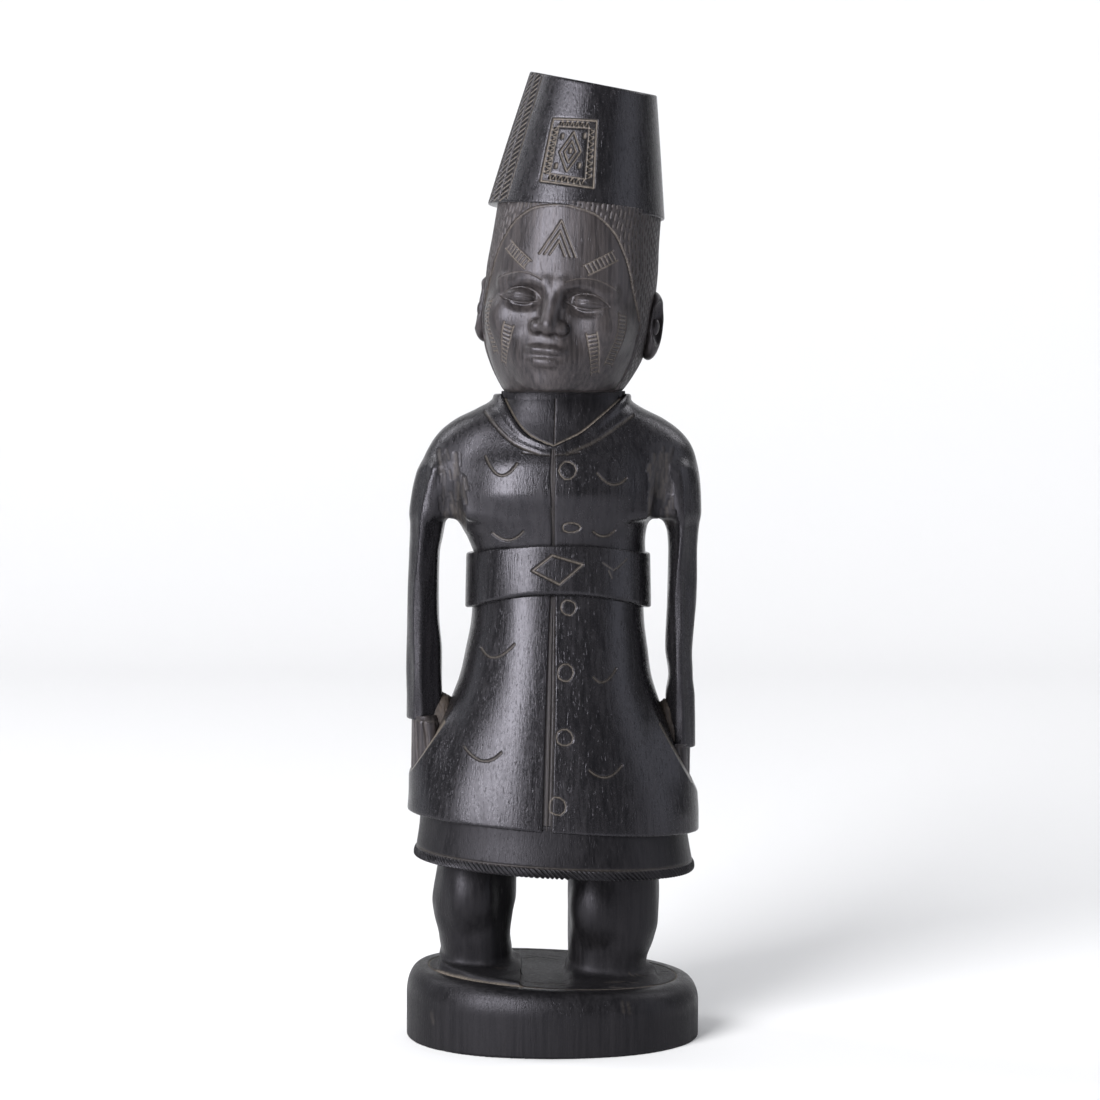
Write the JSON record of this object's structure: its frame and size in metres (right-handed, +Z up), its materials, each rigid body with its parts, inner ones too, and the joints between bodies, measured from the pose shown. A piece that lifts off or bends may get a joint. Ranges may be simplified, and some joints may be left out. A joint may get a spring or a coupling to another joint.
{
  "type": "carved ancestor figure",
  "caption": "Standing carved hardwood figure in a leaning fez and belted tunic, hands in side pockets, on an oval plinth.",
  "frame": {"origin": "centre of the plinth's flat underside, which is also the bottom centre of the bounding box", "axes": "+Z up; the figure faces -Y; +X is the figure's own left-hand side"},
  "size_m": [0.0918, 0.07, 0.3],
  "materials": {
    "ebony_polished": "near-black ebony, hand-rubbed to a satin polish, with fine upright grain",
    "ebony_carved": "near-black ebony with closer knife work, more matte, with brown dust in the cuts"
  },
  "bodies": {
    "root": {"plinth": "ebony_polished", "leg_right": "ebony_polished", "leg_left": "ebony_polished", "underskirt": "ebony_polished", "tunic_skirt": "ebony_polished", "belt": "ebony_polished", "tunic_body": "ebony_polished", "sleeve_right": "ebony_polished", "sleeve_left": "ebony_polished", "hand_right": "ebony_carved", "hand_left": "ebony_carved", "neck": "ebony_carved", "head": "ebony_carved", "ear_right": "ebony_carved", "ear_left": "ebony_carved", "fez": "ebony_polished"}
  },
  "joints": []
}
